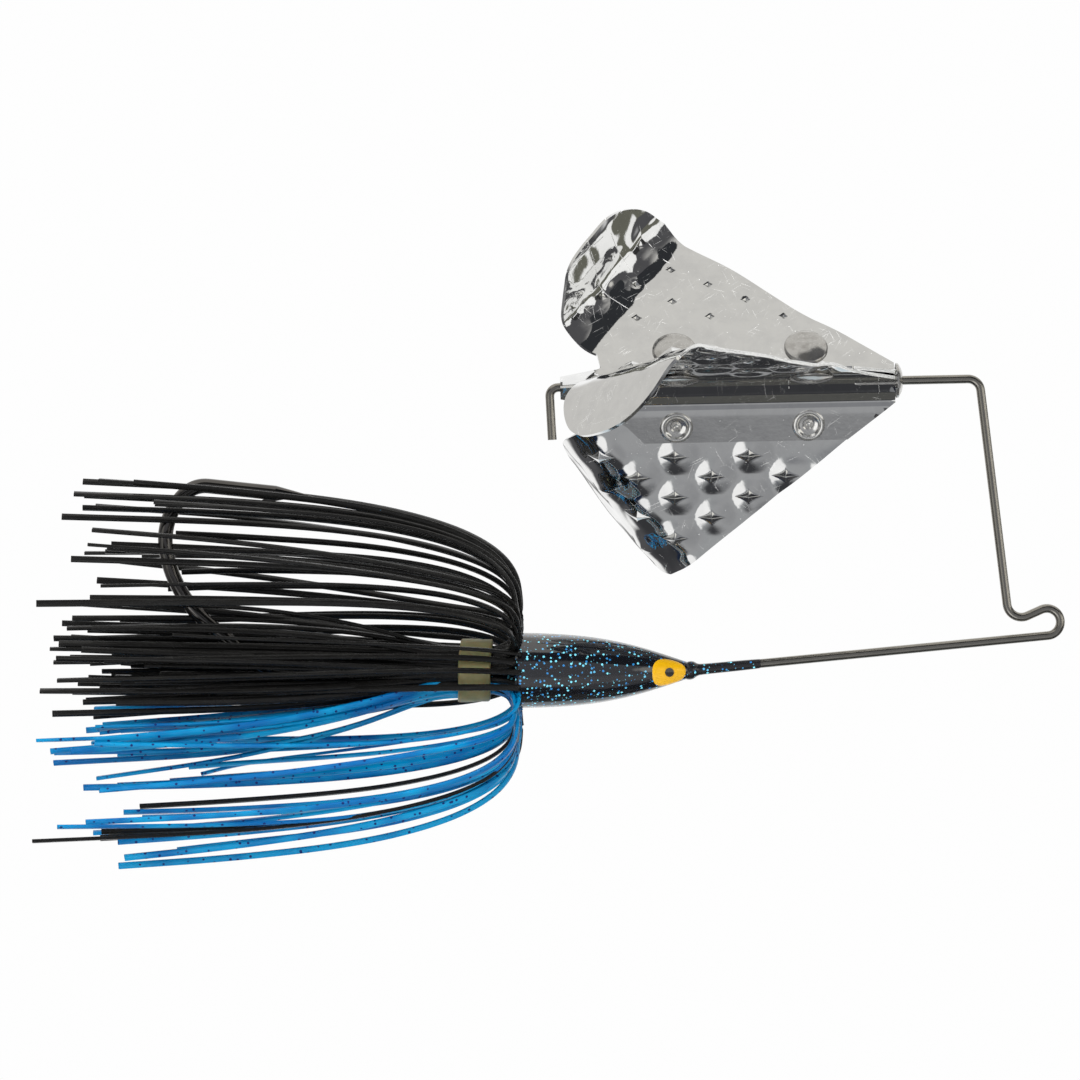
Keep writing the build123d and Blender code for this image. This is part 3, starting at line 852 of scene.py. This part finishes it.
# ---- ribbons of the skirt
STRAND_WIDTH = 0.74
STRAND_T = 0.38
TIP_X = -111.0               # where most strands end
TIP_SPREAD = (-9.6, 11.0, 0.0)       # lowest, highest and likeliest end about that
FOLD_X = HEAD_LOW.x + (HEAD_HIGH.x - HEAD_LOW.x) * 0.318
FOLD_SHAPE = ((0, 0.36), (0.6, 0.53), (3.6, 0.67), (9.5, 0.79), (19, 0.89), (33, 0.96))
WIDTH_RANGE = (0.88, 1.12)   # times the width above
FIRST_TWIST = 25             # greatest at a strand's root, in degrees
TWIST = 80                   # greatest from there to its tip
ROOT_R = (2.3, 3.0)          # of the straight strands, inside the collar
OVER_COLLAR_R = 4.3          # least radius of the folded strands over the collar
SECTION = (                  # a strip with chamfered corners, of width 1 and thickness 1
    (-0.5, -0.25), (-0.4, -0.5), (0.4, -0.5), (0.5, -0.25),
    (0.5, 0.25), (0.4, 0.5), (-0.4, 0.5), (-0.5, 0.25),
)


def soften(points):
    """Cuts a path's corners three times over, which keeps both ends."""
    points = np.array(points, float)
    for _ in range(3):
        ahead, behind = points[1:], points[:-1]
        cut = np.stack([0.75 * behind + 0.25 * ahead, 0.25 * behind + 0.75 * ahead], axis=1)
        points = np.vstack([points[:1], cut.reshape(-1, 3), points[-1:]])
    return points


def round_axis(x, radius, azimuth):
    """Point about the head's axis, azimuth 0 up and 90 towards the viewer."""
    angle = radians(azimuth)
    return (x, -radius * sin(angle), HEAD_Z + radius * cos(angle))


def ribbon(path, width, thickness, twist):
    """Points and faces of a ribbon along a path; twist is its first angle and how far it turns."""
    path = [Vector(p) for p in path]
    verts = []
    for i, at in enumerate(path):
        along = (path[min(i + 1, len(path) - 1)] - path[max(i - 1, 0)]).normalized()
        out = Vector((0, at.y, at.z - HEAD_Z)).normalized()
        side = along.cross(out)
        side = side.normalized() if side.length > 1e-3 else Vector((0, 1, 0))
        side = Matrix.Rotation(radians(twist[0] + twist[1] * i / len(path)), 3, along) @ side
        over = side.cross(along)
        for a, b in SECTION:
            verts.append(at + side * (a * width) + over * (b * thickness))
    n = len(SECTION)
    ends = [tuple(range(n))[::-1], tuple(range(len(verts) - n, len(verts)))]
    return verts, ends + tube_faces(len(path), n)


def folded_path(rng, azimuth, tip_r, tip_x):
    """Front half of a strand: forward out of the collar, round, and back over it."""
    root = azimuth + rng.uniform(-9, 9)
    least = OVER_COLLAR_R + rng.uniform(0, 0.9)
    fore = FOLD_X + rng.uniform(-0.5, 0.35)
    places = [(COLLAR_HIGH.x - 1.0, 2.5), (COLLAR_HIGH.x + 0.8, 2.6), (fore - 0.3, 3.5)]
    for back, share in FOLD_SHAPE:
        x = fore - back
        places.append((x, max(share * tip_r, least + 0.04 * (fore - x))))
    places.append((tip_x, tip_r))
    wander = rng.uniform(-7, 7)
    points = []
    for i, (x, r) in enumerate(places):
        share = min(i / 5, 1)
        around = root + (azimuth - root) * share + wander * sin(i * 0.8) * share
        points.append(round_axis(x, r, around))
    return points


def straight_path(rng, azimuth, tip_r, tip_x):
    """Rear half of a strand: straight out behind the collar."""
    root_r = rng.uniform(*ROOT_R)
    bow = rng.uniform(-0.8, 1.2)
    places = [
        (COLLAR_LOW.x + 1.0, root_r),
        (COLLAR_LOW.x - 2.5, root_r + 0.1),
        (COLLAR_LOW.x - 12, root_r + (tip_r - root_r) * 0.42 + bow),
        (COLLAR_LOW.x - 25, root_r + (tip_r - root_r) * 0.78 + bow),
        (tip_x, tip_r),
    ]
    turn = rng.uniform(-14, 14)
    return [round_axis(x, max(r, 0.4), azimuth + turn * i / 4) for i, (x, r) in enumerate(places)]


# colour, path, count, first and last azimuth, least and greatest radius at the tips
BUNDLES = (
    ("black", folded_path, 25, (-72, 60), (12.5, 22.8)),
    ("black", folded_path, 5, (12, 32), (22.4, 23.5)),
    ("black", folded_path, 4, (58, 116), (5.0, 9.0)),
    ("black", folded_path, 9, (248, 292), (9.0, 18.0)),
    ("blue", folded_path, 18, (122, 238), (13.0, 23.6)),
    ("black", folded_path, 4, (132, 215), (15.0, 23.0)),
    ("black", straight_path, 54, (-142, 142), (0.6, 8.4)),
    ("blue", straight_path, 22, (118, 244), (6.5, 14.0)),
    ("black", straight_path, 3, (125, 160), (6.0, 10.0)),
)


def skirt(seed):
    """Points and faces of every bundle's ribbons, in four groups by colour and kind."""
    rng = random.Random(seed)
    groups = {}
    for colour, make_path, count, (first, last), (least, most) in BUNDLES:
        kind = "folded" if make_path is folded_path else "straight"
        verts, faces = groups.setdefault((colour, kind), ([], []))
        for i in range(count):
            azimuth = first + (last - first) * (i + rng.uniform(0.1, 0.9)) / count
            tip_r = rng.uniform(least, most)
            tip_x = TIP_X + rng.triangular(*TIP_SPREAD)
            path = soften(make_path(rng, azimuth, tip_r, tip_x))
            twist = (rng.uniform(-FIRST_TWIST, FIRST_TWIST), rng.uniform(-TWIST, TWIST))
            width = STRAND_WIDTH * rng.uniform(*WIDTH_RANGE)
            more, quads = ribbon(path, width, STRAND_T, twist)
            faces += [tuple(index + len(verts) for index in quad) for quad in quads]
            verts += more
    return groups


CAD_LAYER = {"folded": "outer", "straight": "inner"}     # the CAD skirt node each kind replaces
SILICONE = {"black": black_silicone, "blue": blue_silicone}
for (colour, kind), (verts, faces) in skirt(seed=11).items():
    piece(
        f"skirt_{colour}_{kind}", verts, faces, SILICONE[colour],
        "root", [f"skirt_{colour}_{CAD_LAYER[kind]}"],
    )


# ---- turned pieces on the head's axis
def lathe(places, around, wobble=None):
    """Surface of revolution through (x, radius) places."""
    verts = []
    for i, (x, r) in enumerate(places):
        for j in range(around):
            angle = 2 * pi * j / around
            dx, dr = wobble(angle, i) if wobble else (0, 0)
            verts.append((x + dx, -(r + dr) * sin(angle), HEAD_Z + (r + dr) * cos(angle)))
    return verts, tube_faces(len(places), around)


COLLAR_WALL = 0.5
COLLAR_OUTSIDE = range(2, 8)         # the places of its profile that are uneven


def collar():
    """A moulded band, cut a little askew, with soft edges and an uneven wall."""
    low, high = COLLAR_LOW.x, COLLAR_HIGH.x
    out_r = (COLLAR_HIGH.z - COLLAR_LOW.z) / 2
    in_r = out_r - COLLAR_WALL
    places = [
        (low + 0.2, in_r), (low, in_r + 0.12), (low + 0.02, out_r - 0.12), (low + 0.2, out_r),
        (low + 1.2, out_r + 0.04), (high - 1.2, out_r - 0.02), (high - 0.2, out_r),
        (high - 0.02, out_r - 0.12), (high, in_r + 0.12), (high - 0.2, in_r), (low + 0.2, in_r),
    ]

    def wobble(angle, i):
        askew = 0.16 * cos(angle + 0.5) + 0.05 * sin(3 * angle + 1)
        uneven = 0.05 * sin(2 * angle + 0.7 * i) if i in COLLAR_OUTSIDE else 0
        return askew, uneven

    verts, faces = lathe(places, 72, wobble)
    made = piece(
        "collar_band", verts, faces, collar_rubber, "root", ["skirt_collar"]
    )
    modify(made, "WELD", merge_threshold=0.01 * MM)


collar()


# ---- paint that runs from the nose on to the wire
SHAFT_RISE = 5.55            # degrees that the wire climbs from the nose


def shaft_sleeve():
    """A ring of paint round the wire at the nose, and a thin skin of it along the wire."""
    places = [
        (-0.9, 0.70), (-0.55, 1.02), (-0.1, 1.13), (0.35, 1.06), (0.6, 0.86),
        (0.85, 0.70), (1.3, 0.645), (3.0, 0.63), (5.2, 0.62), (7.0, 0.59),
        (8.0, 0.565), (8.3, 0.535), (8.3, 0.40),
    ]
    verts, faces = lathe(places, 40)
    rise = tan(radians(SHAFT_RISE))
    rising = [(NOSE_X + x, y, z + x * rise) for x, y, z in verts]
    made = piece("nose_and_shaft_paint", rising, faces, shaft_paint, "root")
    modify(made, "SUBSURF", levels=1, render_levels=1)


shaft_sleeve()


# ---- eyes: a raised patch of yellow paint that follows the head
head_mesh = frame["nodes"]["head"].data
head_surface = BVHTree.FromPolygons(
    [v.co / MM for v in head_mesh.vertices], [p.vertices[:] for p in head_mesh.polygons]
)
EYE_LOW, EYE_HIGH = node_box("eye_right")
EYE_X = (EYE_LOW.x + EYE_HIGH.x) / 2
EYE_RX = (EYE_HIGH.x - EYE_LOW.x) / 2
EYE_T = 0.11
EYE_CURVE = 0.8              # exponent of its outline, under 1 is squarer than an ellipse
EYE_TURN = 4                 # degrees that it sits below the head's side
EYE_UP, EYE_DOWN = 58, 70    # degrees round the head that it reaches
EYE_TAPER = 0.16
EYE_ROOT = -0.15             # its rim runs into the head


def head_radius(x, azimuth):
    """Radius of the head's surface, found by looking in from outside."""
    far = Vector(round_axis(x, 12, azimuth))
    centre = Vector(round_axis(x, 0, azimuth))
    hit = head_surface.ray_cast(far, (centre - far).normalized())[0]
    return (hit - centre).length


def eye_patch(name, side):
    """Rounded patch, domed and thinning to its rim."""
    rings, around = 9, 56
    verts = []
    for i in range(rings + 1):
        share = i / rings
        for j in range(around):
            angle = 2 * pi * j / around
            c, s = cos(angle), sin(angle)
            x = EYE_X - 0.05 + EYE_RX * share * (abs(c) ** EYE_CURVE) * (1 if c > 0 else -1)
            reach = EYE_UP if s > 0 else -EYE_DOWN
            swing = reach * share * abs(s) ** EYE_CURVE * (1 + EYE_TAPER * c)
            azimuth = side * (90 - swing + EYE_TURN)
            lift = EYE_T * (1 - share**6) if i < rings else EYE_ROOT
            verts.append(round_axis(x, head_radius(x, azimuth) + lift, azimuth))
    faces = tube_faces(rings + 1, around)
    if side > 0:
        faces = [quad[::-1] for quad in faces]
    made = piece(f"{name}_patch", verts, faces, eye_paint, "root", [name])
    modify(made, "WELD", merge_threshold=0.02 * MM)


eye_patch("eye_right", 1)
eye_patch("eye_left", -1)


# ---- CAD pieces that keep their shape and get a better finish
def finish_node(node, finish):
    """Gives a CAD node one material."""
    mesh = frame["nodes"][node].data
    mesh.materials.clear()
    mesh.materials.append(finish)


finish_node("head", head_paint)
finish_node("hook", nickel)
finish_node("wire_form", steel)
finish_node("bearing_rivet", rivet_metal)
for node in ("pupil_left", "pupil_right"):
    finish_node(node, pupil_paint)


# ---- studio
# direction, angle from it where the panel begins to fade, angle where it has faded out, colour;
# a later panel covers the earlier ones
PANELS = (
    # below, above, behind
    ((0, 0, -1), 27, 50, (0.040, 0.041, 0.045)),
    ((0, 0, 1), 38, 60, (0.665, 0.655, 0.63)),
    ((0, 1, 0), 46, 62, (1.0, 1.0, 1.0)),
    # rear end
    ((-1, -0.1, -0.1), 20, 36, (0.21, 0.21, 0.21)),
    ((-0.68, 0.6, 0.38), 24, 36, (0.64, 0.63, 0.61)),
    # nose end, with hard edges for the crumpled lobe of the upper wing
    ((1, 0.10, 0.1), 20, 22, (0.14, 0.14, 0.115)),
    ((1, -0.24, 0.2), 11, 12.5, (1.0, 1.0, 0.99)),
    ((1, 0.30, -0.05), 6, 8, (0.95, 0.95, 0.94)),
    ((1, 0.02, 0.42), 7, 8, (0.03, 0.03, 0.03)),
    # viewer's side: a grey window that the head mirrors, and bands and lamps round it
    ((0, -1, 0), 41, 44, (0.23, 0.235, 0.25)),
    ((0.14, -0.80, -0.58), 9, 20, (0.345, 0.35, 0.36)),
    ((0, -0.7, 0.7), 12, 18, (0.05, 0.05, 0.05)),
    ((0.44, -0.55, 0.70), 22, 24, (0.030, 0.032, 0.036)),
    ((-0.7, -0.7, 0), 12, 20, (0.50, 0.50, 0.48)),
    ((0.72, -0.68, 0.08), 14, 18, (0.88, 0.86, 0.80)),
    # towards the viewer and down, for the lower wing: its dimples, a lamp in them, and its curl
    ((-0.36, -0.776, -0.518), 17, 27, (0.35, 0.36, 0.37)),
    ((0.42, -0.74, -0.54), 10, 20, (0.30, 0.305, 0.315)),
    ((0.34, -0.50, -0.80), 8, 14, (0.19, 0.195, 0.205)),
    ((-0.36, -0.776, -0.518), 15, 19.5, (1.0, 1.0, 1.0)),
    ((-0.42, -0.40, -0.81), 10, 16, (0.012, 0.020, 0.042)),
    # small ones below and behind
    ((0.08, 0.17, -0.98), 12, 18, (0.088, 0.088, 0.083)),
    ((0, 1, 0), 7, 14, (0.16, 0.16, 0.16)),
    ((0.0, 0.62, -0.78), 10, 17, (0.62, 0.70, 0.75)),
)
SURROUND = (0.085, 0.085, 0.09)


def studio_world():
    """White to the camera; for reflections and light, soft panels painted by direction."""
    world = bpy.data.worlds.new("studio")
    world.use_nodes = True
    graph = Graph(world.node_tree)
    towards = graph.node("ShaderNodeTexCoord").outputs["Generated"]
    colour = rgb(*SURROUND)
    for direction, full, faded, tint in PANELS:
        aim = Vector(direction).normalized()
        facing = graph.vector("DOT_PRODUCT", towards, tuple(aim))
        share = graph.ramp(facing, cos(radians(faded)), cos(radians(full)))
        colour = graph.mix(share, colour, rgb(*tint))
    seen = graph.node("ShaderNodeLightPath").outputs["Is Camera Ray"]
    colour = graph.mix(seen, colour, rgb(0.99, 0.99, 0.99))
    background = graph.node("ShaderNodeBackground", {"Color": colour})
    graph.node("ShaderNodeOutputWorld", {"Surface": background.outputs[0]})
    bpy.context.scene.world = world


def softbox(name, place, aim, size, power):
    """Soft light that chrome doesn't mirror."""
    light = bpy.data.lights.new(name, "AREA")
    light.shape = "DISK"
    light.size = size
    light.energy = power
    made = bpy.data.objects.new(name, light)
    made.location = place
    made.rotation_euler = (Vector(aim) - Vector(place)).to_track_quat("-Z", "Y").to_euler()
    made.visible_glossy = False
    bpy.context.scene.collection.objects.link(made)


def floor_nodes(graph):
    """Pale, very slightly mottled."""
    mottle = graph.noise(graph.millimetres(), 0.02)
    return {"Base Color": graph.mix(mottle, rgb(0.84, 0.84, 0.83), rgb(0.87, 0.87, 0.86))}


FLOOR_R = 0.42
FLOOR_Z = -0.125


def floor():
    """Round floor under the object, which chrome doesn't mirror."""
    mesh = bpy.data.meshes.new("floor")
    around = 96
    ring = []
    for i in range(around):
        angle = 2 * pi * i / around
        ring.append((middle.x + FLOOR_R * cos(angle), FLOOR_R * sin(angle), FLOOR_Z))
    mesh.from_pydata(ring, [], [tuple(range(around))])
    mesh.materials.append(material("pale_floor", floor_nodes, Roughness=0.9))
    made = bpy.data.objects.new("floor", mesh)
    bpy.context.scene.collection.objects.link(made)
    made.visible_glossy = False


CAMERA_PLACE = (-0.05962, -0.4235, 0.00965)


def camera():
    """Long lens, level, square on to the lure's side."""
    data = bpy.data.cameras.new("camera")
    data.lens = 120
    data.sensor_width = 36
    data.clip_start = 0.01
    made = bpy.data.objects.new("camera", data)
    made.location = CAMERA_PLACE
    made.rotation_euler = (pi / 2, 0, 0)
    bpy.context.scene.collection.objects.link(made)
    bpy.context.scene.camera = made


middle = (cad_box[0] + cad_box[1]) / 2
studio_world()
softbox("front_light", (-0.15, -0.5, 0.25), middle, 0.5, 3.4)
softbox("top_light", (0.05, 0.05, 0.6), middle, 0.6, 5.0)
floor()
camera()
bpy.context.scene.view_settings.view_transform = "Standard"
